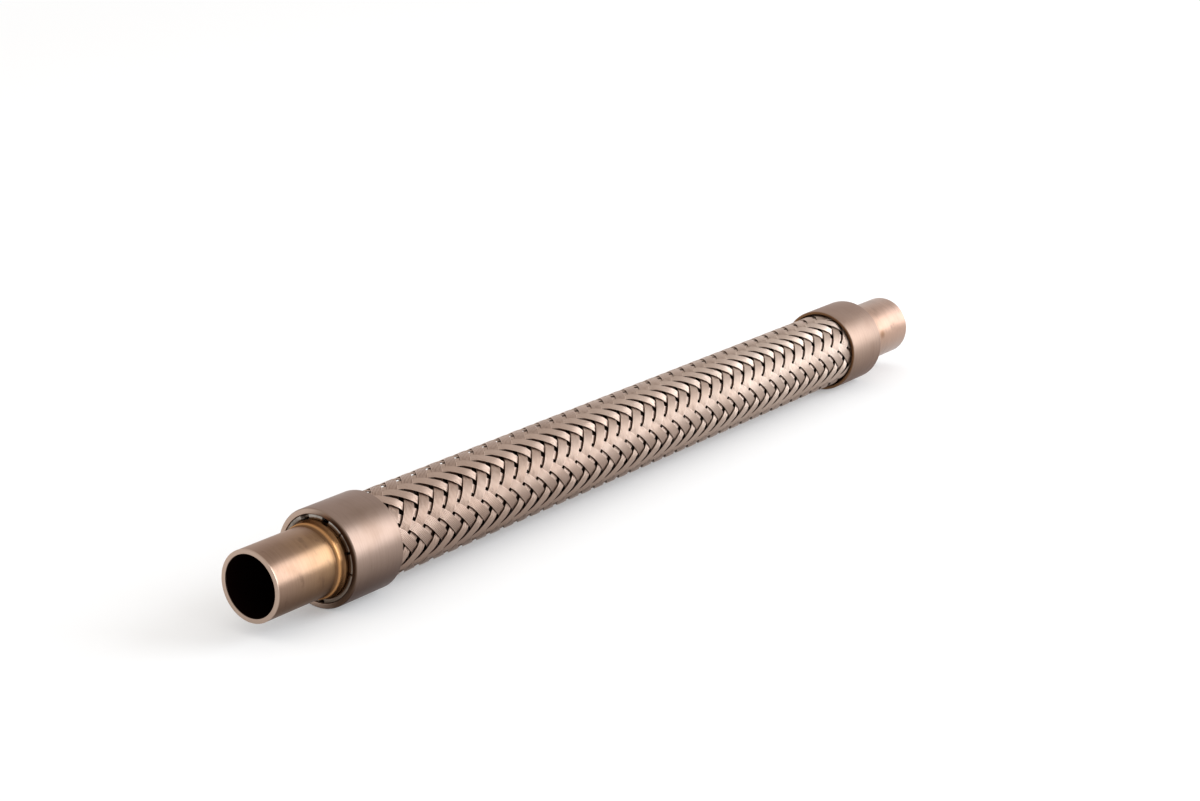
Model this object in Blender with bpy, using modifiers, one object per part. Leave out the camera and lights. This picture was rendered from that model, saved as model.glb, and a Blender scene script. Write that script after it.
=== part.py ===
"""Vibration eliminator: a corrugated hose in a wire braid, with a solder tube and a ferrule at each end.

It lies along X on its two ferrules, and the floor is z = 0. Lengths are in metres.
"""

import math

import bmesh
import bpy
from mathutils import Matrix, Vector

# Whole piece
OVERALL_LENGTH = 0.244
SEAT_GAP = 0.0002  # left between pieces that are brazed or pressed together
CUT_OVERRUN = 0.0005  # how far a cutter runs past the wall that it cuts

# Solder tubes, whose bores take a half-inch line
TUBE_BORE = 0.01275
TUBE_WALL = 0.00098
TUBE_SHOWN = 0.0189
TUBE_TUCK = 0.0122  # how far the tube runs in behind the ferrule's face
TUBE_RIM_CHAMFER = 0.0002

# Ferrules, pressed over the ends of the braid
FERRULE_LENGTH = 0.0140
FERRULE_WALL = 0.00083
FERRULE_EDGE_CHAMFER = 0.0003
FERRULE_MOUTH_FLARE = 0.0004

# Corrugated hose, with a plain cuff at each end that slips over a tube
HOSE_WALL = 0.0003
HOSE_PITCH = 0.0058
HOSE_DEPTH = 0.0012
CREST_RISE = 0.00005  # from the cuff's outside to a crest
CUFF_RECESS = 0.0003  # from the ferrule's face back to the cuff's end

# Braze bead, a fillet laid round the tube against the cuff's end
BEAD_LENGTH = 0.0025
BEAD_HEIGHT = 0.0005
BEAD_SHOULDER_SHARE = 0.45  # of the bead's length that stays at full height

# Braid of flat wire bands, each over two and under two of those that cross it
BANDS_EACH_WAY = 12
BRAID_PITCH = 0.0562  # along the hose for one turn of a band
WEAVE_TUCK = 0.0040  # how far the raised weave runs into a ferrule, which presses the rest flat
BRAID_GROUND = 0.00038  # wall left under the grooves between bands
BAND_RISE = 0.00038  # from the grooves up to a band's highest place
BAND_END_RISE_SHARE = 0.55  # of the rise, where a band dips under its neighbour
BAND_WIDTH_SHARE = 0.72  # of the spacing of the bands
BRAID_ROLL = math.radians(32)  # turns the rows of floats about the hose
GAP_SHARE = 0.75  # of the space between four bands that is open
GAP_EVERY = 4  # bands from one open gap to the next, both ways

# Braze rings, where the braid's wire ends are run together inside a ferrule
BRAZE_RING_LENGTH = 0.0020
BRAZE_RING_RECESS = 0.0005  # from the ferrule's face back to the ring

# Facets
ROUND_SIDES = 28
HOSE_SIDES = 12
GAP_SIDES = 3
SHARP_ANGLE = math.radians(35)

# Colours, as linear red, green and blue
ROSE_BRONZE = (0.50, 0.34, 0.26)
GOLD_BRONZE = (0.60, 0.40, 0.25)
GOLD_BRAZE = (0.66, 0.40, 0.17)
PALE_BRONZE = (0.62, 0.47, 0.38)
SILVER_BRAZE = (0.70, 0.64, 0.58)
DARK_BRONZE = (0.38, 0.24, 0.16)


def corner_radius(flat_radius, sides):
    """Radius to the corners of a ring with this many sides, whose flats lie on the given radius."""
    return flat_radius / math.cos(math.pi / sides)


# Places along the hose, from its middle
half_length = OVERALL_LENGTH / 2
ferrule_face = half_length - TUBE_SHOWN
ferrule_mouth = ferrule_face - FERRULE_LENGTH
tube_end = ferrule_face - TUBE_TUCK
cuff_end = ferrule_face - CUFF_RECESS
braze_ring_front = ferrule_face - BRAZE_RING_RECESS
braze_ring_back = braze_ring_front - BRAZE_RING_LENGTH
braid_end = braze_ring_back - SEAT_GAP
weave_end = ferrule_mouth + WEAVE_TUCK

# The weave is counted in steps, half a band's spacing each, along the hose and round it
turn_steps = 2 * BANDS_EACH_WAY
braid_steps = 2 * max(2, round(braid_end * turn_steps / BRAID_PITCH))
braid_step = 2 * braid_end / braid_steps

# Radii, from the bore outwards
tube_inside = corner_radius(TUBE_BORE / 2, ROUND_SIDES)
tube_outside = TUBE_BORE / 2 + TUBE_WALL
cuff_outside = corner_radius(tube_outside + SEAT_GAP + HOSE_WALL, HOSE_SIDES)
hose_crest = cuff_outside + CREST_RISE
hose_root = hose_crest - HOSE_DEPTH
bead_inside = corner_radius(tube_outside + SEAT_GAP, ROUND_SIDES)
bead_outside = bead_inside + BEAD_HEIGHT
braid_inside = corner_radius(hose_crest + SEAT_GAP, turn_steps)
braid_groove = braid_inside + BRAID_GROUND
braid_outside = braid_groove + BAND_RISE
braze_ring_inside = corner_radius(cuff_outside + SEAT_GAP, ROUND_SIDES)
ferrule_inside = corner_radius(braid_outside + SEAT_GAP, ROUND_SIDES)
ferrule_outside = ferrule_inside + FERRULE_WALL

# The lowest facet of each ferrule lies flat on the floor
axis_height = ferrule_outside * math.cos(math.pi / ROUND_SIDES)


def clear_scene():
    for obj in list(bpy.data.objects):
        bpy.data.objects.remove(obj, do_unlink=True)


def new_collection(name):
    collection = bpy.data.collections.new(name)
    bpy.context.scene.collection.children.link(collection)
    return collection


def metal(name, color, roughness):
    material = bpy.data.materials.new(name)
    material.use_nodes = True
    shader = material.node_tree.nodes["Principled BSDF"]
    shader.inputs["Base Color"].default_value = (*color, 1)
    shader.inputs["Metallic"].default_value = 1
    shader.inputs["Roughness"].default_value = roughness
    return material


def hose_axis(collection):
    """An empty on the hose's middle line, with its Z along world X."""
    axis = bpy.data.objects.new("hose_axis", None)
    axis.location = (0, 0, axis_height)
    axis.rotation_euler = (0, math.pi / 2, 0)
    collection.objects.link(axis)
    return axis


def add_on_axis(name, mesh, material, collection, axis, roll):
    """An object whose own Z runs along the hose, rolled about it by the given angle."""
    obj = bpy.data.objects.new(name, mesh)
    mesh.materials.append(material)
    collection.objects.link(obj)
    obj.parent = axis
    obj.rotation_euler = (0, 0, roll)
    return obj


def keep_shape(obj):
    """Makes what the modifiers give the object's own mesh, shaded smooth between its corners."""
    bpy.context.view_layer.update()
    graph = bpy.context.evaluated_depsgraph_get()
    mesh = bpy.data.meshes.new_from_object(obj.evaluated_get(graph))
    obj.modifiers.clear()
    obj.data = mesh
    mesh.shade_smooth()
    mesh.set_sharp_from_angle(angle=SHARP_ANGLE)


def profile_mesh(name, points, closed):
    """A line in the XZ plane, from (radius, place along the hose) points."""
    count = len(points)
    links = [(i, (i + 1) % count) for i in range(count if closed else count - 1)]
    mesh = bpy.data.meshes.new(name)
    mesh.from_pydata([(radius, 0, along) for radius, along in points], links, [])
    return mesh


def turn_round(obj, sides):
    screw = obj.modifiers.new("turn", "SCREW")
    screw.axis = "Z"
    screw.angle = 2 * math.pi
    screw.steps = sides
    screw.render_steps = sides
    screw.use_merge_vertices = False


def turned_ring(name, section, side, material, collection, axis):
    """A ring turned from its closed section, which is drawn for the right end, a flat facet underneath.

    The section runs down its outer side once it stands at its own end of the hose.
    """
    points = [(radius, side * along) for radius, along in section]
    if side < 0:
        points.reverse()
    mesh = profile_mesh(name, points, closed=True)
    obj = add_on_axis(name, mesh, material, collection, axis, roll=math.pi / ROUND_SIDES)
    turn_round(obj, ROUND_SIDES)
    keep_shape(obj)


def tube_section():
    rim = half_length - TUBE_RIM_CHAMFER
    return [
        (tube_outside, rim),
        (tube_outside, tube_end),
        (tube_inside, tube_end),
        (tube_inside, rim),
        (tube_inside + TUBE_RIM_CHAMFER, half_length),
        (tube_outside - TUBE_RIM_CHAMFER, half_length),
    ]


def ferrule_section():
    edge = ferrule_outside - FERRULE_EDGE_CHAMFER
    return [
        (edge, ferrule_face),
        (ferrule_outside, ferrule_face - FERRULE_EDGE_CHAMFER),
        (ferrule_outside, ferrule_mouth + FERRULE_EDGE_CHAMFER),
        (edge, ferrule_mouth),
        (ferrule_inside + FERRULE_MOUTH_FLARE, ferrule_mouth),
        (ferrule_inside, ferrule_mouth + FERRULE_MOUTH_FLARE),
        (ferrule_inside, ferrule_face),
    ]


def bead_section():
    back = cuff_end + SEAT_GAP
    return [
        (bead_inside, back + BEAD_LENGTH),
        (bead_outside, back + BEAD_LENGTH * BEAD_SHOULDER_SHARE),
        (bead_outside, back),
        (bead_inside, back),
    ]


def braze_ring_section():
    return [
        (braid_outside, braze_ring_front),
        (braid_outside, braze_ring_back),
        (braze_ring_inside, braze_ring_back),
        (braze_ring_inside, braze_ring_front),
    ]


def hose_line():
    """The hose's outer surface as one line, from the right cuff over crests and roots to the left cuff."""
    last_root = tube_end - SEAT_GAP - HOSE_PITCH / 2
    crests = max(1, round(2 * last_root / HOSE_PITCH))
    pitch = 2 * last_root / crests
    cuff = [(cuff_outside, cuff_end), (cuff_outside, last_root + pitch / 2)]
    points = cuff + [(hose_root, last_root)]
    for i in range(crests):
        points.append((hose_crest, last_root - (i + 1 / 2) * pitch))
        points.append((hose_root, last_root - (i + 1) * pitch))
    return points + [(radius, -along) for radius, along in reversed(cuff)]


def corrugated_hose(material, collection, axis):
    mesh = profile_mesh("corrugated_hose", hose_line(), closed=False)
    obj = add_on_axis("corrugated_hose", mesh, material, collection, axis, roll=math.pi / HOSE_SIDES)
    turn_round(obj, HOSE_SIDES)
    wall = obj.modifiers.new("wall", "SOLIDIFY")
    wall.thickness = HOSE_WALL
    wall.offset = -1
    wall.use_even_offset = True
    keep_shape(obj)


def weave_place(along, turn, radius):
    """The place of a count of steps along the braid, from its left end, and round it."""
    angle = turn * 2 * math.pi / turn_steps
    return Vector((math.cos(angle) * radius, math.sin(angle) * radius, along * braid_step - braid_end))


def float_step(start, lean, lengthwise, crosswise):
    """Steps along and round the braid, for steps along and across a band that starts at a crossing.

    A band of lean 1 climbs towards the right end as it turns, and one of lean -1 towards the left.
    """
    along, turn = start
    return along + lean * (lengthwise - crosswise), turn + lengthwise + crosswise


class BraidWall:
    """The braid as one wall, whose outside holds a raised float wherever a band passes over two others.

    The edges of the bands cross at points that lie in the grooves. The counts of steps along and
    round are both even or both odd there.
    """

    def __init__(self):
        self.shape = bmesh.new()
        self.groove_points = {}
        self.covered = set()

    def groove(self, along, turn):
        key = (along, turn % turn_steps)
        if key not in self.groove_points:
            self.groove_points[key] = self.shape.verts.new(weave_place(*key, braid_groove))
        return self.groove_points[key]

    def add_float(self, start, lean):
        """A raised face over two crossings, with sloping sides down to the grooves round it."""
        outline = ((0, 0), (1, 0), (2, 0), (2, 1), (1, 1), (0, 1))
        margin = (1 - BAND_WIDTH_SHARE) / 2
        low, high = [], []
        for lengthwise, crosswise in outline:
            low.append(self.groove(*float_step(start, lean, lengthwise, crosswise)))
            inset = lengthwise + margin * (1 - lengthwise), crosswise + margin * (1 - 2 * crosswise)
            rise = BAND_RISE if lengthwise == 1 else BAND_RISE * BAND_END_RISE_SHARE
            place = weave_place(*float_step(start, lean, *inset), braid_groove + rise)
            high.append(self.shape.verts.new(place))
        for i, corner in enumerate(low):
            following = (i + 1) % len(low)
            self.shape.faces.new((corner, low[following], high[following], high[i]))
        self.shape.faces.new((high[0], high[1], high[4], high[5]))
        self.shape.faces.new((high[1], high[2], high[3], high[4]))
        for crossing in (0, 1):
            along, turn = float_step(start, lean, crossing, 0)
            self.covered.add((along, turn % turn_steps))

    def add_floats(self):
        """Rows of floats along the hose, which lean one way and the other in turn."""
        for along in range(0, braid_steps + 1, 2):
            for row, turn in enumerate(range(0, turn_steps, 2)):
                lean = 1 if row % 2 else -1
                ends = (along - lean, along + 2 * lean)
                if all(abs(weave_place(end, turn, 0).z) < weave_end for end in ends):
                    self.add_float((along, turn), lean)

    def add_plain_crossings(self):
        """Flat faces over the crossings that the ferrules press flat, at the braid's two ends."""
        for along in range(braid_steps + 1):
            for turn in range(along % 2, turn_steps, 2):
                if (along, turn) in self.covered:
                    continue
                low, high = self.groove(along, turn), self.groove(along, turn + 2)
                beside = [self.groove(along + i, turn + 1) for i in (1, -1) if 0 <= along + i <= braid_steps]
                if len(beside) == 2:
                    self.shape.faces.new((low, beside[0], high, beside[1]))
                    continue
                edge = self.groove(along, turn + 1)
                self.shape.faces.new((low, beside[0], edge))
                self.shape.faces.new((edge, beside[0], high))

    def add_inside(self):
        """The plain inner wall, half a step round from the grooves, and the two end faces."""
        rings = []
        for along in (0, braid_steps):
            ring = [
                self.shape.verts.new(weave_place(along, turn + 1 / 2, braid_inside))
                for turn in range(turn_steps)
            ]
            for turn in range(turn_steps):
                low, high = self.groove(along, turn), self.groove(along, turn + 1)
                self.shape.faces.new((low, high, ring[turn]))
                self.shape.faces.new((high, ring[(turn + 1) % turn_steps], ring[turn]))
            rings.append(ring)
        left, right = rings
        for turn in range(turn_steps):
            following = (turn + 1) % turn_steps
            self.shape.faces.new((left[turn], left[following], right[following], right[turn]))

    def mesh(self):
        self.add_floats()
        self.add_plain_crossings()
        self.add_inside()
        bmesh.ops.recalc_face_normals(self.shape, faces=self.shape.faces)
        mesh = bpy.data.meshes.new("wire_braid")
        self.shape.to_mesh(mesh)
        self.shape.free()
        return mesh


def braid_gap_cutters(material, collection, axis):
    """Pins through the wall between the ferrules, at crossings of the grooves, where four bands leave a gap."""
    gap_radius = (1 - BAND_WIDTH_SHARE) * GAP_SHARE * braid_step
    depth = braid_outside - braid_inside + 2 * CUT_OVERRUN
    middle = (braid_outside + braid_inside) / 2
    lengthwise = Vector((0, 0, 1))
    shape = bmesh.new()
    for along in range(0, braid_steps + 1, GAP_EVERY):
        first = along % (2 * GAP_EVERY)
        for turn in range(first, first + turn_steps, 2 * GAP_EVERY):
            place = weave_place(along, turn, middle)
            if abs(place.z) > ferrule_mouth:
                continue
            outward = Vector((place.x, place.y, 0)).normalized()
            facing = Matrix((lengthwise, outward.cross(lengthwise), outward)).transposed().to_4x4()
            bmesh.ops.create_cone(
                shape,
                cap_ends=True,
                segments=GAP_SIDES,
                radius1=gap_radius,
                radius2=gap_radius,
                depth=depth,
                matrix=Matrix.Translation(place) @ facing,
            )
    mesh = bpy.data.meshes.new("braid_gap_cutters")
    shape.to_mesh(mesh)
    shape.free()
    cutter = add_on_axis("braid_gap_cutters", mesh, material, collection, axis, roll=BRAID_ROLL)
    cutter.hide_render = True
    cutter.display_type = "WIRE"
    return cutter


def wire_braid(material, collection, cutters, axis):
    obj = add_on_axis("wire_braid", BraidWall().mesh(), material, collection, axis, roll=BRAID_ROLL)
    gaps = obj.modifiers.new("gaps", "BOOLEAN")
    gaps.object = braid_gap_cutters(material, cutters, axis)
    gaps.operation = "DIFFERENCE"
    gaps.solver = "EXACT"


def main():
    clear_scene()
    parts = new_collection("vibration_eliminator")
    cutters = new_collection("cutters")
    axis = hose_axis(parts)
    tube_metal = metal("bronze_tube", GOLD_BRONZE, 0.32)
    ferrule_metal = metal("bronze_ferrule", ROSE_BRONZE, 0.38)
    bead_metal = metal("gold_braze", GOLD_BRAZE, 0.3)
    braze_ring_metal = metal("silver_braze", SILVER_BRAZE, 0.35)
    hose_metal = metal("bronze_hose", DARK_BRONZE, 0.45)
    braid_metal = metal("braid_wire", PALE_BRONZE, 0.35)
    for end, side in (("left", -1), ("right", 1)):
        turned_ring(end + "_tube", tube_section(), side, tube_metal, parts, axis)
        turned_ring(end + "_ferrule", ferrule_section(), side, ferrule_metal, parts, axis)
        turned_ring(end + "_braze_bead", bead_section(), side, bead_metal, parts, axis)
        turned_ring(end + "_braze_ring", braze_ring_section(), side, braze_ring_metal, parts, axis)
    corrugated_hose(hose_metal, parts, axis)
    wire_braid(braid_metal, parts, cutters, axis)


main()
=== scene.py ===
"""Vibration eliminator in a white studio. Lengths are in metres, X runs along the hose and Z is up."""

import math

import bpy
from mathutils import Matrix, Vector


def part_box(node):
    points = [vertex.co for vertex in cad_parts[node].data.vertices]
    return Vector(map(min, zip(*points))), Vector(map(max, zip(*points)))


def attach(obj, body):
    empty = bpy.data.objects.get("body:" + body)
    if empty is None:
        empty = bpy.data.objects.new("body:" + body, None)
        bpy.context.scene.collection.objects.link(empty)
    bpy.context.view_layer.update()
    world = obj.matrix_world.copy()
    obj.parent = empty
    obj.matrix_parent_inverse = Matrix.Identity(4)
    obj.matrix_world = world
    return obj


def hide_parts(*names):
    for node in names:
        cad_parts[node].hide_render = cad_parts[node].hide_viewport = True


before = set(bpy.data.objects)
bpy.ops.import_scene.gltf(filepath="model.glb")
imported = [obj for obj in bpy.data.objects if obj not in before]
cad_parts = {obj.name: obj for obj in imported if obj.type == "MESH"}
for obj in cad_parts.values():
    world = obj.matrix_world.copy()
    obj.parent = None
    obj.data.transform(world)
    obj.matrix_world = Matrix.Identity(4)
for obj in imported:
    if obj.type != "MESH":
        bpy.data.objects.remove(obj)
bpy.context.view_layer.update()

MM = 0.001

# Sizes of the solids. Both ends are alike, and the part lies on its two ferrules.
right_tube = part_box("right_tube")
right_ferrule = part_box("right_ferrule")
half_length = right_tube[1].x
tube_inner_end = right_tube[0].x
ferrule_face = right_ferrule[1].x
ferrule_mouth = right_ferrule[0].x
ferrule_radius = right_ferrule[1].z / 2
axis_height = ferrule_radius

# Radii of the pieces, and the hose's wall
TUBE_RADIUS = 7.33 * MM
BORE_RADIUS = 6.375 * MM
CUFF_RADIUS = 7.85 * MM
BEAD_RADIUS = 7.98 * MM
RING_INSIDE = 8.03 * MM
RING_OUTSIDE = 9.01 * MM
FERRULE_BORE = 9.25 * MM
FERRULE_LIP_BORE = 9.05 * MM
HOSE_CREST = 8.33 * MM
HOSE_ROOT = 7.4 * MM
HOSE_WALL = 0.3 * MM

# The braid: bands of wires laid side by side, each over two and under two of those that cross it
BANDS_EACH_WAY = 12
WIRES_IN_BAND = 8
BAND_WIDTH = 0.69  # of the spacing of the bands
WIRE_RADIUS = 0.141 * MM
WIRE_POINTS_PER_STEP = 2.5
BRAID_STEP = 2.347 * MM  # along the hose, for half a band's spacing
BRAID_HALF_LENGTH = 99 * MM
BRAID_SHIFT = 1.63 * MM  # from the hose's middle to a crossing of the grooves
BRAID_ROLL = math.radians(32.4)  # of the first band round the hose
BRAID_RADIUS = 8.77 * MM
BRAID_HEIGHT = 0.28 * MM  # from the braid's middle to the middle of a wire on top
CROWN = 0.05 * MM  # from a band's middle down to its edges
CROSSING_STEEPNESS = 3  # how sharply a wire goes from over to under


# Materials

# Sockets of a Mix node that are for colours
MIX_AMOUNT, MIX_BASE, MIX_OVER, MIX_RESULT = 0, 6, 7, 2


class Amount:
    """A number or colour in a finish. A sum or product with it adds the node that works it out."""

    def __init__(self, owner, socket):
        self.owner = owner
        self.socket = socket

    def maths(self, operation, *values):
        return self.owner.add("ShaderNodeMath", {"operation": operation}, dict(enumerate(values)))

    def __add__(self, other):
        return self.maths("ADD", self, other)

    __radd__ = __add__

    def __mul__(self, other):
        return self.maths("MULTIPLY", self, other)

    __rmul__ = __mul__

    def __sub__(self, other):
        return self.maths("SUBTRACT", self, other)

    def __rsub__(self, other):
        return self.maths("SUBTRACT", other, self)

    def power(self, other):
        return self.maths("POWER", self, other)

    def larger(self, other):
        return self.maths("MAXIMUM", self, other)

    def between(self, start, end):
        """0 before the start, 1 past the end and a smooth rise from one to the other."""
        values = {"Value": self, "From Min": start, "From Max": end}
        return self.owner.add("ShaderNodeMapRange", {"interpolation_type": "SMOOTHSTEP"}, values)


class Nodes:
    """The nodes of a finish or of the sky."""

    def __init__(self, tree):
        self.nodes = tree.nodes
        self.links = tree.links

    def feed(self, socket, value):
        if isinstance(value, Amount):
            self.links.new(value.socket, socket)
        else:
            socket.default_value = value

    def add(self, kind, settings, values, output=0):
        """Adds a node: first its settings, then the values or links of its sockets. Gives an output of it."""
        node = self.nodes.new(kind)
        for name, value in settings.items():
            if name == "stops":
                for stop, (position, shade) in zip(node.color_ramp.elements, value):
                    stop.position, stop.color = position, shade
            else:
                setattr(node, name, value)
        for socket, value in values.items():
            self.feed(node.inputs[socket], value)
        return Amount(self, node.outputs[output])


class Finish(Nodes):
    """A material, with the place of each point on the part."""

    def __init__(self, name, metallic=1.0, roughness=0.3):
        self.material = bpy.data.materials.new(name)
        self.material.use_nodes = True
        super().__init__(self.material.node_tree)
        self.shader = self.nodes["Principled BSDF"]
        self.set({"Metallic": metallic, "Roughness": roughness})

    def set(self, values):
        for name, value in values.items():
            self.feed(self.shader.inputs[name], value)

    def tint_edges(self, shade):
        """Gives metal a colour where it is seen at a slant, where it would turn white."""
        self.set({"Specular Tint": shade})

    def locate(self):
        """Where a point lies: along the hose, sideways and up from its middle line, and how far from it."""
        point = self.add("ShaderNodeTexCoord", {}, {}, "Object")
        self.along, self.sideways, height = (
            self.add("ShaderNodeSeparateXYZ", {}, {"Vector": point}, axis) for axis in "XYZ"
        )
        self.up = height - axis_height
        self.radius = (self.sideways * self.sideways + self.up * self.up).power(0.5)

    def clouds(self, along, across, detail=2.0, roughness=0.5):
        """A cloudy pattern around 0.5, with so many clouds to the metre along the hose and across it."""
        point = {"X": self.along * along, "Y": self.sideways * across, "Z": self.up * across}
        vector = self.add("ShaderNodeCombineXYZ", {}, point)
        values = {"Vector": vector, "Scale": 1, "Detail": detail, "Roughness": roughness}
        return self.add("ShaderNodeTexNoise", {}, values, "Fac")

    def brushed_lines(self, lines):
        """Fine lines that run round the hose, so many to the metre."""
        return self.clouds(along=lines, across=120, detail=3, roughness=0.7)

    def spot(self, place, inside, outside):
        """1 within the smaller distance from a place, and 0 beyond the larger one."""
        here = (self.along, self.sideways, self.up)
        along, sideways, up = (point - middle for point, middle in zip(here, place))
        distance = (along * along + sideways * sideways + up * up).power(0.5)
        return 1 - distance.between(inside, outside)

    def layers(self, base, *layers):
        """The base colour with others laid over it in turn, each as much as its amount says."""
        for amount, shade in layers:
            values = {MIX_AMOUNT: amount, MIX_BASE: base, MIX_OVER: shade}
            base = self.add("ShaderNodeMix", {"data_type": "RGBA"}, values, MIX_RESULT)
        return base

    def bump(self, height, depth):
        self.set({"Normal": self.add("ShaderNodeBump", {}, {"Distance": depth, "Height": height})})


def color(red, green, blue):
    return (red, green, blue, 1)


# Shades of the tubes
TUBE_CLOUD = color(0.17, 0.09, 0.05)
TUBE_LINE = color(0.11, 0.065, 0.045)
TUBE_SMUDGE = color(0.12, 0.07, 0.05)
TUBE_HEATED = color(0.13, 0.065, 0.028)
TUBE_STAIN = color(0.22, 0.105, 0.045)
# Painted light: the near tube's top is painted lighter
TUBE_PAINTED_LIGHT = color(0.38, 0.275, 0.235)
# Painted shade: the tubes' lower sides are painted near black
TUBE_PAINTED_SHADE = color(0.045, 0.022, 0.012)
TUBE_RIM = color(0.50, 0.375, 0.30)
# Dark oxide in the bore, painted near black as shade
TUBE_BORE_PAINTED_SHADE = color(0.016, 0.005, 0.004)
BORE_ROUGHNESS = 0.5

# Shades of the ferrules. A slant is the metal's colour where it is seen at a slant.
FERRULE_SLANT = color(0.88, 0.8, 0.78)
FERRULE_LINE = color(0.14, 0.09, 0.07)
# Painted light: the ferrules' tops are painted lighter
FERRULE_PAINTED_LIGHT = color(0.42, 0.31, 0.26)
# Painted shade: the ferrules' lower sides are painted near black
FERRULE_PAINTED_SHADE = color(0.035, 0.017, 0.01)
FERRULE_PALE_FACE = color(0.47, 0.35, 0.28)
FERRULE_BROWN_FACE = color(0.085, 0.05, 0.032)
FERRULE_ORANGE_PATCH = color(0.42, 0.18, 0.07)
FERRULE_MOUTH = color(0.19, 0.10, 0.05)

# Shades of the golden beads and of the silvery rings
GOLD_SLANT = color(0.85, 0.68, 0.55)
GOLD_BROWN = color(0.24, 0.125, 0.055)
GOLD_CLOUD = color(0.17, 0.085, 0.04)
# Orange braze on the crest, painted lighter as a highlight
GOLD_CREST_AND_PAINTED_HIGHLIGHT = color(0.45, 0.23, 0.095)
GOLD_FOOT = color(0.15, 0.08, 0.04)
SILVER_GREY = color(0.18, 0.14, 0.11)
# Painted light: the rings' tops are painted lighter
SILVER_PAINTED_LIGHT = color(0.35, 0.315, 0.28)
SILVER_PATCH = color(0.12, 0.09, 0.07)

# Shades of the braid's wires and of the hose inside
WIRE_SLANT = color(0.9, 0.83, 0.8)
WIRE_NEAR = color(0.475, 0.352, 0.287)
# Painted light: the wire is painted paler at the far end
WIRE_FAR_PAINTED_LIGHT = color(0.56, 0.45, 0.38)
WIRE_CLOUD = color(0.34, 0.24, 0.185)
WIRE_SPECK = color(0.22, 0.15, 0.12)
# Painted shade: the braid's lower side is painted darker
WIRE_PAINTED_SHADE = color(0.08, 0.045, 0.03)
# Painted shade on the lower layer of wires
WIRE_DEEP_PAINTED_SHADE = color(0.08, 0.048, 0.035)
# Painted shade: the hose is painted near black
HOSE_PAINTED_SHADE = color(0.035, 0.02, 0.014)

# What differs between the ends: the near one is painted duller and darker as shade, most of all on its
# undersides, and the far one is painted paler as light
NEAR_TUBE = {
    "slant": color(0.86, 0.76, 0.7),
    "rosy": color(0.25, 0.163, 0.118),
    "golden": color(0.285, 0.168, 0.084),
    # How much painted shade this end gets on its undersides
    "painted_shade": 0.8,
    "roughness": 0.27,
}
FAR_TUBE = {
    "slant": color(1, 1, 1),
    "rosy": color(0.41, 0.255, 0.185),
    "golden": color(0.39, 0.24, 0.165),
    "painted_shade": 0.2,
    "roughness": 0.3,
}
NEAR_FERRULE = {
    "rosy": color(0.25, 0.178, 0.142),
    "brown": color(0.213, 0.146, 0.111),
    "painted_shade": 0.93,
    "roughness": 0.33,
}
FAR_FERRULE = {
    "rosy": color(0.275, 0.192, 0.148),
    "brown": color(0.24, 0.16, 0.12),
    "painted_shade": 0.45,
    "roughness": 0.38,
}


def tube_bronze(name, side, slant, rosy, golden, painted_shade, roughness):
    """Satin bronze, more golden towards the braze, with painted light over the near one's top, painted shade
    below, and dark oxide in the bore painted near black as shade.
    """
    finish = Finish(name)
    finish.tint_edges(slant)
    finish.locate()
    outwards = finish.along * side
    lines = finish.brushed_lines(3500)
    clouds = finish.clouds(along=160, across=160)
    smudges = finish.clouds(along=420, across=260, detail=3, roughness=0.6)
    near_braze = outwards.between(half_length, ferrule_face - 2 * MM)
    heated = outwards.between(ferrule_face + 4.5 * MM, ferrule_face + 2.2 * MM)
    rim = outwards.between(half_length - 0.5 * MM, half_length - 0.1 * MM)
    # Painted shade, darker towards the bottom
    painted_shade_below = finish.up.between(1 * MM, -5 * MM)
    outside = finish.radius.between(BORE_RADIUS + 0.02 * MM, BORE_RADIUS + 0.1 * MM)
    shown = outside.larger(rim)
    # The far tube gets a real stain, the near tube painted light over its top
    if side > 0:
        stain = finish.spot((109.2 * MM, -7.24 * MM, 1.1 * MM), 0.3 * MM, 1.7 * MM)
        stain_and_painted_light = (stain * 0.75, TUBE_STAIN)
    else:
        painted_light_top = finish.sideways.between(-3.5 * MM, 0.5 * MM)
        stain_and_painted_light = (painted_light_top * 0.5, TUBE_PAINTED_LIGHT)
    bronze = finish.layers(
        rosy,
        (near_braze, golden),
        (clouds.between(0.5, 0.75) * 0.45, TUBE_CLOUD),
        (lines.between(0.35, 0.75) * 0.22, TUBE_LINE),
        (smudges.between(0.58, 0.72) * 0.4, TUBE_SMUDGE),
        (heated * 0.6, TUBE_HEATED),
        stain_and_painted_light,
        (painted_shade_below * painted_shade, TUBE_PAINTED_SHADE),
        (rim * 0.8, TUBE_RIM),
    )
    # Inside the bore, dark oxide painted near black as shade
    finish.set({
        "Base Color": finish.layers(TUBE_BORE_PAINTED_SHADE, (shown, bronze)),
        "Roughness": BORE_ROUGHNESS - shown * (BORE_ROUGHNESS - roughness) + lines * 0.08,
    })
    finish.bump(lines, depth=0.0045 * MM)
    return finish.material


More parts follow.
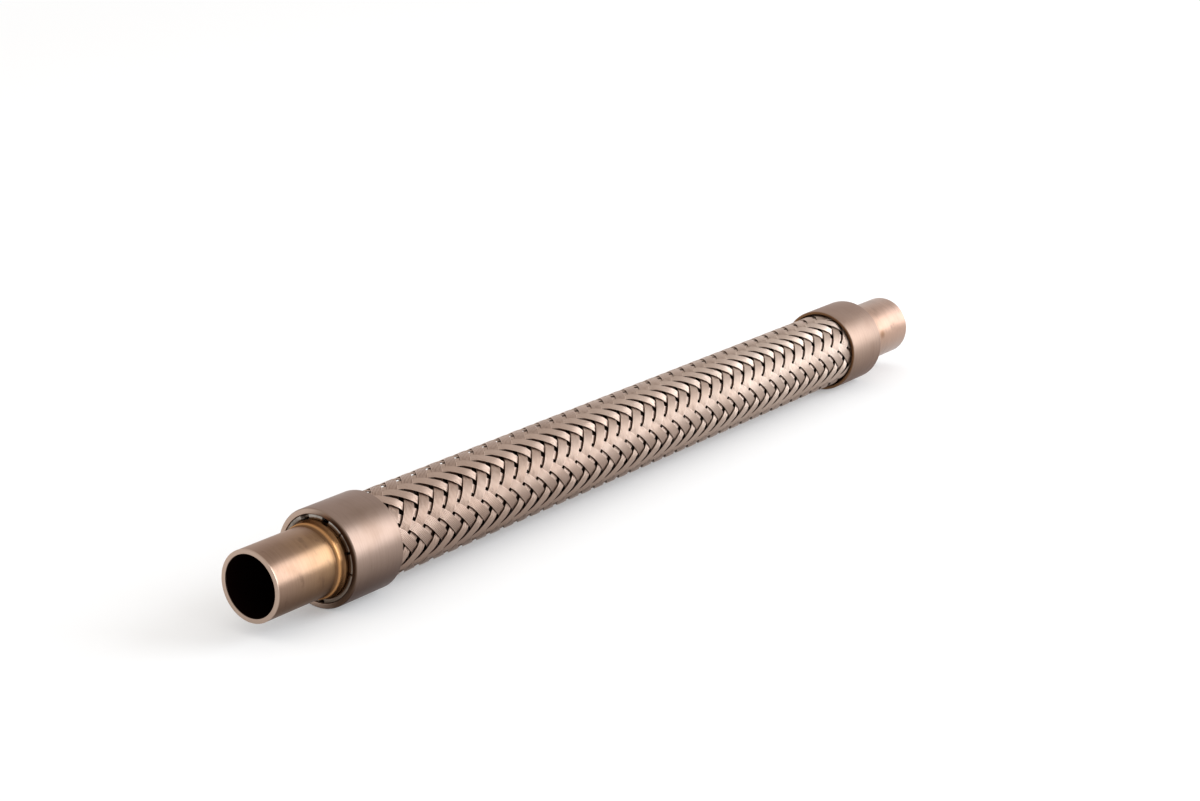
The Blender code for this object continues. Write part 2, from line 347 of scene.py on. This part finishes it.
def ferrule_bronze(name, side, rosy, brown, painted_shade, roughness):
    """Rosy satin bronze, painted lighter over the top and darker towards the bottom as light and shade, with
    a face that is pale at the back and brown in front.
    """
    finish = Finish(name)
    finish.tint_edges(FERRULE_SLANT)
    finish.locate()
    outwards = finish.along * side
    lines = finish.brushed_lines(2800)
    clouds = finish.clouds(along=120, across=120, detail=3)
    painted_light_top = finish.sideways.between(-7 * MM, -3.5 * MM)
    # Painted shade, darker towards the bottom
    painted_shade_below = finish.up.between(1 * MM, -7 * MM)
    bronze = finish.layers(
        rosy,
        (clouds.between(0.4, 0.75), brown),
        (lines.between(0.4, 0.8) * 0.25, FERRULE_LINE),
        # Painted light over the top, less where the end gets more painted shade
        (painted_light_top * (0.5 - 0.4 * painted_shade), FERRULE_PAINTED_LIGHT),
        (painted_shade_below * painted_shade, FERRULE_PAINTED_SHADE),
    )
    # What lies within the outer radius: the face with its corner, and the mouth where the braid goes in
    front = finish.sideways.between(3 * MM, -6 * MM)
    patch = finish.spot((-ferrule_face, -3 * MM, 9.4 * MM), 0.4 * MM, 1.4 * MM)
    face = finish.layers(
        FERRULE_PALE_FACE,
        (front, FERRULE_BROWN_FACE),
        (patch * clouds.between(0.3, 0.6) * 0.9, FERRULE_ORANGE_PATCH),
    )
    towards_face = outwards.between(ferrule_mouth + 2 * MM, ferrule_face - 2 * MM)
    ends = finish.layers(FERRULE_MOUTH, (towards_face, face))
    within = 1 - finish.radius.between(ferrule_radius - 0.25 * MM, ferrule_radius - 0.05 * MM)
    finish.set({
        "Base Color": finish.layers(bronze, (within, ends)),
        "Roughness": roughness + lines * 0.1,
    })
    finish.bump(lines, depth=0.005 * MM)
    return finish.material


def golden_braze(name, side):
    """Smooth braze: brown where it leaves the tube, orange on its crest, painted lighter there as a
    highlight, and orange-brown below that.
    """
    finish = Finish(name)
    finish.tint_edges(GOLD_SLANT)
    finish.locate()
    clouds = finish.clouds(along=400, across=300)
    ahead = finish.along * side - ferrule_face
    braze = finish.layers(
        GOLD_BROWN,
        (clouds.between(0.35, 0.7), GOLD_CLOUD),
        # The crest's orange, painted lighter as a highlight
        (ahead.between(1.3 * MM, 1.9 * MM), GOLD_CREST_AND_PAINTED_HIGHLIGHT),
        (ahead.between(2.0 * MM, 2.4 * MM), GOLD_FOOT),
    )
    finish.set({"Base Color": braze, "Roughness": 0.24 + clouds * 0.08})
    finish.bump(clouds, depth=0.008 * MM)
    return finish.material


def silver_braze(name):
    """Grey braze with brown patches, painted lighter towards the top as light."""
    finish = Finish(name)
    finish.locate()
    clouds = finish.clouds(along=400, across=350)
    braze = finish.layers(
        SILVER_GREY,
        # Painted light, lighter towards the top
        (finish.up.between(4 * MM, 8 * MM), SILVER_PAINTED_LIGHT),
        (clouds.between(0.5, 0.75), SILVER_PATCH),
    )
    finish.set({"Base Color": braze, "Roughness": 0.28 + clouds * 0.1})
    finish.bump(clouds, depth=0.03 * MM)
    return finish.material


def braid_wire(name):
    """Rosy wire, paler towards the far end as painted light, with browner patches, and painted shade below
    and on the lower wires.
    """
    finish = Finish(name)
    finish.tint_edges(WIRE_SLANT)
    finish.locate()
    clouds = finish.clouds(along=90, across=90, detail=3)
    specks = finish.clouds(along=1500, across=1500)
    far_away = finish.along.between(-90 * MM, 90 * MM)
    # Painted shade, darker towards the bottom and less so towards the far end
    painted_shade_below = finish.up.between(3 * MM, -6 * MM)
    lower_wires = BRAID_RADIUS - BRAID_HEIGHT
    # Painted shade on the wires that lie underneath the others
    painted_shade_lower_layer = 1 - finish.radius.between(lower_wires - WIRE_RADIUS, lower_wires + WIRE_RADIUS)
    wire = finish.layers(
        WIRE_NEAR,
        # Paler towards the far end, as painted light
        (far_away, WIRE_FAR_PAINTED_LIGHT),
        (clouds.between(0.4, 0.75) * 0.3, WIRE_CLOUD),
        (specks.between(0.5, 0.8) * 0.1, WIRE_SPECK),
        (painted_shade_below * (0.55 - far_away * 0.25), WIRE_PAINTED_SHADE),
        (painted_shade_lower_layer * 0.2, WIRE_DEEP_PAINTED_SHADE),
    )
    finish.set({"Base Color": wire, "Roughness": 0.3 + specks * 0.05})
    return finish.material


def hose_bronze(name):
    """Bronze painted near black as shade, since the hose shows only between the wires and in the bore."""
    finish = Finish(name, roughness=0.5)
    finish.set({"Base Color": HOSE_PAINTED_SHADE})
    return finish.material


# Modelling

ROUND_SIDES = 160
SMOOTH_ANGLE = math.radians(40)
WELD_DISTANCE = 0.001 * MM
HOSE_WELD_DISTANCE = 0.01 * MM

# The bead's outline: how far ahead of the ferrule's face and how high above the tube, in mm
BEAD_OUTLINE = [
    (3.0, 0),
    (2.7, 0.02),
    (2.45, 0.06),
    (2.28, 0.12),
    (2.16, 0.2),
    (2.08, 0.28),
    (2.0, 0.335),
    (1.88, 0.37),
    (1.7, 0.395),
    (1.4, 0.43),
    (1.1, 0.475),
    (0.85, 0.53),
    (0.68, 0.59),
]

# Where the braze ring is drawn in: from and to, in degrees from the top towards the front, and by how many mm
RING_NOTCHES = [
    (12, 22, 1.1),
    (-25, -12, 0.9),
    (44, 46.5, 0.35),
    (70, 73, 0.5),
    (100, 103, 0.45),
    (172, 178, 0.7),
    (238, 243, 0.5),
]

# The hose: its crests, and the outline of one as shares of its length and of its height
HOSE_SIDES = 64
HOSE_CRESTS = 60
HOSE_CREST_OUTLINE = [
    (0, 0),
    (0.12, 0.03),
    (0.24, 0.85),
    (0.36, 1),
    (0.64, 1),
    (0.76, 0.85),
    (0.88, 0.03),
    (1, 0),
]


def select(*pieces):
    """Selects these pieces and nothing else, with the first of them active."""
    bpy.ops.object.select_all(action="DESELECT")
    for piece in pieces:
        piece.select_set(True)
    if pieces:
        bpy.context.view_layer.objects.active = pieces[0]


def edit():
    """Opens the active piece for editing with all of it selected."""
    bpy.ops.object.mode_set(mode="EDIT")
    bpy.ops.mesh.select_all(action="SELECT")


def close_seams(distance):
    """Merges points that coincide, points the faces outwards and ends the editing."""
    bpy.ops.mesh.select_all(action="SELECT")
    bpy.ops.mesh.remove_doubles(threshold=distance)
    bpy.ops.mesh.normals_make_consistent(inside=False)
    bpy.ops.object.mode_set(mode="OBJECT")


def apply_modifier(piece, kind, **settings):
    modifier = piece.modifiers.new(kind.lower(), kind)
    for name, value in settings.items():
        setattr(modifier, name, value)
    bpy.ops.object.modifier_apply(modifier=modifier.name)


def turned(name, outline, side=1, sides=ROUND_SIDES, closed=True):
    """A ring round the hose: a circle, extruded and resized through each place and radius of its outline."""
    points = [(side * along, radius) for along, radius in outline]
    last_along, last_radius = points[0]
    select()
    bpy.ops.mesh.primitive_circle_add(
        vertices=sides,
        radius=last_radius,
        location=(last_along, 0, axis_height),
        rotation=(0, math.pi / 2, 0),
    )
    piece = bpy.context.object
    piece.name = piece.data.name = name
    edit()
    for along, radius in points[1:] + (points[:1] if closed else []):
        bpy.ops.mesh.extrude_region_move(TRANSFORM_OT_translate={"value": (along - last_along, 0, 0)})
        growth = radius / last_radius
        bpy.ops.transform.resize(value=(1, growth, growth), center_override=(along, 0, axis_height))
        last_along, last_radius = along, radius
    close_seams(WELD_DISTANCE)
    bpy.ops.object.transform_apply(location=True, rotation=True, scale=True)
    return piece


def finish_piece(piece, material, node, sharp_edges=True):
    """Shades a piece smooth, gives it its material and puts it in its node's place."""
    piece.data.materials.clear()
    piece.data.materials.append(material)
    select(piece)
    if sharp_edges:
        bpy.ops.object.shade_smooth_by_angle(angle=SMOOTH_ANGLE)
    else:
        bpy.ops.object.shade_smooth()
    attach(piece, "root")
    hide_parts(node)


def round_corner(along, radius, size, start, end, steps=5):
    """Points of a rounded corner about its centre, from one angle to another, in degrees."""
    points = []
    for i in range(steps + 1):
        angle = math.radians(start + (end - start) * i / steps)
        points.append((along + size * math.cos(angle), radius + size * math.sin(angle)))
    return points


def tube(end, side):
    """A thin tube with a rounded rim, which reaches back inside the ferrule."""
    rounding = 0.16 * MM
    outline = [(tube_inner_end, TUBE_RADIUS)]
    outline += round_corner(half_length - rounding, TUBE_RADIUS - rounding, rounding, 90, 0)
    outline += round_corner(half_length - rounding, BORE_RADIUS + rounding, rounding, 0, -90)
    outline += [(tube_inner_end, BORE_RADIUS)]
    return turned(end + "_tube", outline, side)


def ferrule(end, side):
    """A pressed sleeve with a well rounded front edge, whose mouth is chamfered where the braid goes in."""
    face_rounding, mouth_rounding, lip_rounding = 0.45 * MM, 0.25 * MM, 0.125 * MM
    lip_depth, bore_depth = 1.2 * MM, 1.6 * MM
    chamfer_length, chamfer_rise = 0.5 * MM, 0.3 * MM
    outline = round_corner(
        ferrule_mouth + mouth_rounding, ferrule_radius - mouth_rounding, mouth_rounding, 180, 90, steps=4
    )
    outline += round_corner(
        ferrule_face - face_rounding, ferrule_radius - face_rounding, face_rounding, 90, 0, steps=8
    )
    outline += round_corner(
        ferrule_face - lip_rounding, FERRULE_LIP_BORE + lip_rounding, lip_rounding, 0, -90, steps=3
    )
    outline += [
        (ferrule_face - lip_depth, FERRULE_LIP_BORE),
        (ferrule_face - bore_depth, FERRULE_BORE),
        (ferrule_mouth + chamfer_length, FERRULE_BORE),
        (ferrule_mouth, FERRULE_BORE + chamfer_rise),
    ]
    return turned(end + "_ferrule", outline, side)


def bead(end, side):
    """Braze drawn up round the tube: a hollow fillet, a small round crest and a band sloping down from it."""
    rounding = 0.15 * MM
    shoulder = ferrule_face + 0.45 * MM
    back = ferrule_face - 0.6 * MM
    outline = [(ferrule_face + ahead * MM, TUBE_RADIUS + rise * MM) for ahead, rise in BEAD_OUTLINE]
    outline += round_corner(shoulder, BEAD_RADIUS - rounding, rounding, 50, 90, steps=3)
    outline += [(back, BEAD_RADIUS), (back, TUBE_RADIUS)]
    return turned(end + "_braze_bead", outline, side)


def braze_ring(end, side):
    """Braze over the wires' cut ends, drawn in at a few places."""
    front = ferrule_face - 0.1 * MM
    back = front - 1.6 * MM
    flank, shoulder, shoulder_width = 0.14 * MM, 0.03 * MM, 0.12 * MM
    outline = [
        (back, RING_INSIDE),
        (back, RING_OUTSIDE),
        (front - flank, RING_OUTSIDE),
        (front - shoulder, RING_OUTSIDE - shoulder_width),
        (front, (RING_INSIDE + RING_OUTSIDE) / 2),
        (front - shoulder, RING_INSIDE + shoulder_width),
        (front - flank, RING_INSIDE),
    ]
    piece = turned(end + "_braze_ring", outline, side)
    halfway = (front + back) / 2
    for start, stop, depth in RING_NOTCHES:
        bpy.ops.object.mode_set(mode="EDIT")
        bpy.ops.mesh.select_all(action="DESELECT")
        bpy.ops.object.mode_set(mode="OBJECT")
        for point in piece.data.vertices:
            clock = math.degrees(math.atan2(-point.co.y, point.co.z - axis_height))
            in_notch = start <= clock <= stop or start <= clock + 360 <= stop
            point.select = in_notch and side * point.co.x > halfway
        bpy.ops.object.mode_set(mode="EDIT")
        bpy.ops.transform.translate(value=(-side * depth * MM, 0, 0))
        bpy.ops.object.mode_set(mode="OBJECT")
    return piece


def hose():
    """The corrugated hose: one full round crest repeated along it, with cuffs that end behind the beads."""
    last_groove = tube_inner_end - 3 * MM
    cuff_end = ferrule_face - 0.3 * MM
    crest_length = 2 * last_groove / HOSE_CRESTS
    crest_height = HOSE_CREST - HOSE_ROOT
    outline = [
        (ahead * crest_length - last_groove, HOSE_ROOT + rise * crest_height)
        for ahead, rise in HOSE_CREST_OUTLINE
    ]
    piece = turned("corrugated_hose", outline, sides=HOSE_SIDES, closed=False)
    apply_modifier(
        piece,
        "ARRAY",
        count=HOSE_CRESTS,
        use_relative_offset=False,
        use_constant_offset=True,
        constant_offset_displace=(crest_length, 0, 0),
        use_merge_vertices=True,
        merge_threshold=HOSE_WELD_DISTANCE,
    )
    cuff_outline = [
        (last_groove, HOSE_ROOT),
        (last_groove + crest_length / 2, CUFF_RADIUS),
        (cuff_end, CUFF_RADIUS),
    ]
    cuffs = [turned("cuff", cuff_outline, side, HOSE_SIDES, closed=False) for side in (-1, 1)]
    select(piece, *cuffs)
    bpy.ops.object.join()
    edit()
    close_seams(HOSE_WELD_DISTANCE)
    apply_modifier(piece, "SOLIDIFY", thickness=HOSE_WALL, offset=-1)
    return piece


def wire_height(steps):
    """How high a wire lies on its way over two crossings and under two, from -1 to 1."""
    return math.tanh(CROSSING_STEEPNESS * math.sin(math.pi * steps / 2)) / math.tanh(CROSSING_STEEPNESS)


def wire_points(lean, first_turn, first_float, across):
    """The places of one wire, from end to end of the braid.

    Lean is 1 for a right-hand wire and -1 for a left-hand one. The turn and the float that a wire starts
    from are in steps of half a band's spacing. Across is its place in its band's spacing, from 0 to 1.
    """
    turn_steps = 2 * BANDS_EACH_WAY
    length = 2 * BRAID_HALF_LENGTH / BRAID_STEP
    count = int(length * WIRE_POINTS_PER_STEP)
    crown = CROWN * (2 * across - 1) ** 2
    points = []
    for i in range(count + 1):
        steps = length * i / count - length / 2
        lengthwise = lean * steps + across
        turn = first_turn + lengthwise + across
        angle = turn * 2 * math.pi / turn_steps + BRAID_ROLL
        radius = BRAID_RADIUS - crown + BRAID_HEIGHT * wire_height(lengthwise - first_float)
        along = BRAID_SHIFT + steps * BRAID_STEP
        points.append((along, math.sin(angle) * radius, axis_height - math.cos(angle) * radius))
    return points


def wire_band(name, lean, first_turn, first_float):
    """One band of wires side by side, as round tubes along their lines."""
    line = bpy.data.curves.new(name, "CURVE")
    line.dimensions = "3D"
    line.bevel_depth = WIRE_RADIUS
    line.bevel_resolution = 1
    line.use_fill_caps = True
    for i in range(WIRES_IN_BAND):
        across = 0.5 + BAND_WIDTH * ((i + 0.5) / WIRES_IN_BAND - 0.5)
        points = wire_points(lean, first_turn, first_float, across)
        spline = line.splines.new("POLY")
        spline.points.add(len(points) - 1)
        for point, place in zip(spline.points, points):
            point.co = (*place, 1)
    band = bpy.data.objects.new(name, line)
    bpy.context.scene.collection.objects.link(band)
    select(band)
    bpy.ops.object.convert(target="MESH")
    return bpy.context.object


def turned_copies(band, count):
    """The band and its copies, evenly round the hose, as one piece."""
    copies = []
    for i in range(1, count):
        select(band)
        bpy.ops.object.duplicate(linked=False)
        copies.append(bpy.context.object)
        edit()
        turn = i * 2 * math.pi / count
        bpy.ops.transform.rotate(value=turn, orient_axis="X", center_override=(0, 0, axis_height))
        bpy.ops.object.mode_set(mode="OBJECT")
    select(band, *copies)
    bpy.ops.object.join()
    band.data.name = band.name
    return band


def braid(material):
    """Two sets of bands each way, since every other band goes over first where its neighbour goes under."""
    for way, lean, float_start in (("right", 1, 2), ("left", -1, 0)):
        for start, first_turn in (("first", 0), ("second", 2)):
            name = f"{way}_hand_{start}_bands"
            band = wire_band(name, lean, first_turn, float_start - first_turn)
            piece = turned_copies(band, BANDS_EACH_WAY // 2)
            finish_piece(piece, material, "wire_braid", sharp_edges=False)


for end, side, tube_look, ferrule_look in (
    ("left", -1, NEAR_TUBE, NEAR_FERRULE),
    ("right", 1, FAR_TUBE, FAR_FERRULE),
):
    tube_finish = tube_bronze(end + "_tube_bronze", side, **tube_look)
    ferrule_finish = ferrule_bronze(end + "_ferrule_bronze", side, **ferrule_look)
    bead_finish = golden_braze(end + "_golden_braze", side)
    ring_finish = silver_braze(end + "_silver_braze")
    finish_piece(tube(end, side), tube_finish, end + "_tube")
    finish_piece(ferrule(end, side), ferrule_finish, end + "_ferrule")
    finish_piece(bead(end, side), bead_finish, end + "_braze_bead")
    finish_piece(braze_ring(end, side), ring_finish, end + "_braze_ring")
finish_piece(hose(), hose_bronze("hose_painted_shade"), "corrugated_hose")
braid(braid_wire("braid_wire"))


# Studio

# The floor is painted white. In the picture and in reflections a share of it is plain white near the part,
# where the rest keeps the part's shadow, and in the picture it turns all white further off.
FLOOR_SIZE = 8
FLOOR_WHITE = color(0.97, 0.97, 0.97)
PLAIN_WHITE_SHARE = 0.25
WHITE_FROM, ALL_WHITE_FROM = 0.5, 1.5

# The sky's colours, from the horizon up to the ceiling
SKY_STOPS = [(0.3, color(1, 1, 1)), (0.75, color(0.88, 0.85, 0.82))]

# Where the soft boxes stand: a place a metre off at the front right, and the way to the right of it
SOFT_BOX_SHADE = (0.93, 1.0, 1.07)
SOFT_BOX_PLACE = (0.783, -0.622)
SOFT_BOX_RIGHT = (0.622, 0.783)

CAMERA_PLACE = (-0.43366, -0.30356, 0.16739)
CAMERA_TURN = (74.2365, 0.5055, -54.6521)  # in degrees
CAMERA_LENS = 72.827  # in millimetres, as the sensor
CAMERA_SENSOR = 36
CAMERA_NEAREST = 10 * MM

select()
bpy.ops.mesh.primitive_plane_add(size=FLOOR_SIZE, location=(0, 0, 0))
floor = bpy.context.object
floor.name = "floor"
white = Finish("white_floor", metallic=0.0, roughness=0.9)
white.set({"Base Color": FLOOR_WHITE})
white.locate()
in_picture, in_gloss, through_glass = (
    white.add("ShaderNodeLightPath", {}, {}, ray)
    for ray in ("Is Camera Ray", "Is Glossy Ray", "Is Transmission Ray")
)
seen = in_picture.larger(in_gloss).larger(through_glass)
far_floor = 1 - white.spot((0, 0, 0), WHITE_FROM, ALL_WHITE_FROM)
glow = seen * PLAIN_WHITE_SHARE + in_picture * far_floor * (1 - PLAIN_WHITE_SHARE)
paint = Amount(white, white.shader.outputs[0])
plain_white = white.add("ShaderNodeEmission", {}, {})
mixed = white.add("ShaderNodeMixShader", {}, {0: glow, 1: paint, 2: plain_white})
white.feed(white.nodes["Material Output"].inputs["Surface"], mixed)
floor.data.materials.append(white.material)

world = bpy.data.worlds.new("studio")
world.use_nodes = True
bpy.context.scene.world = world
sky = Nodes(world.node_tree)
direction = sky.add("ShaderNodeTexCoord", {}, {}, "Generated")
height = sky.add("ShaderNodeSeparateXYZ", {}, {"Vector": direction}, "Z")
ceiling = sky.add("ShaderNodeValToRGB", {"stops": SKY_STOPS}, {0: height})
sky.feed(sky.nodes["Background"].inputs["Color"], ceiling)
sky.feed(sky.nodes["Background"].inputs["Strength"], 1.0)


def soft_box(name, beside, low, width, height, brightness):
    """An upright light that faces the part, so far to the right of that place and so far above the floor."""
    light = bpy.data.lights.new(name, "AREA")
    light.shape = "RECTANGLE"
    light.size, light.size_y = width, height
    light.energy = brightness * math.pi * width * height
    light.color = SOFT_BOX_SHADE
    lamp = bpy.data.objects.new(name, light)
    x, y = (place + beside * right for place, right in zip(SOFT_BOX_PLACE, SOFT_BOX_RIGHT))
    lamp.location = (x, y, low + height / 2)
    lamp.rotation_euler = (math.pi / 2, 0, math.atan2(SOFT_BOX_PLACE[1], SOFT_BOX_PLACE[0]) + math.pi / 2)
    bpy.context.scene.collection.objects.link(lamp)


soft_box("near_soft_box", beside=-0.25, low=0.04, width=0.8, height=0.95, brightness=4.6)
soft_box("far_soft_box", beside=0.55, low=0.01, width=0.8, height=0.46, brightness=2.3)

camera = bpy.data.objects.new("camera", bpy.data.cameras.new("camera"))
camera.location = CAMERA_PLACE
camera.rotation_euler = [math.radians(angle) for angle in CAMERA_TURN]
camera.data.lens = CAMERA_LENS
camera.data.sensor_width = CAMERA_SENSOR
camera.data.clip_start = CAMERA_NEAREST
bpy.context.scene.collection.objects.link(camera)
bpy.context.scene.camera = camera

bpy.context.scene.view_settings.view_transform = "Standard"
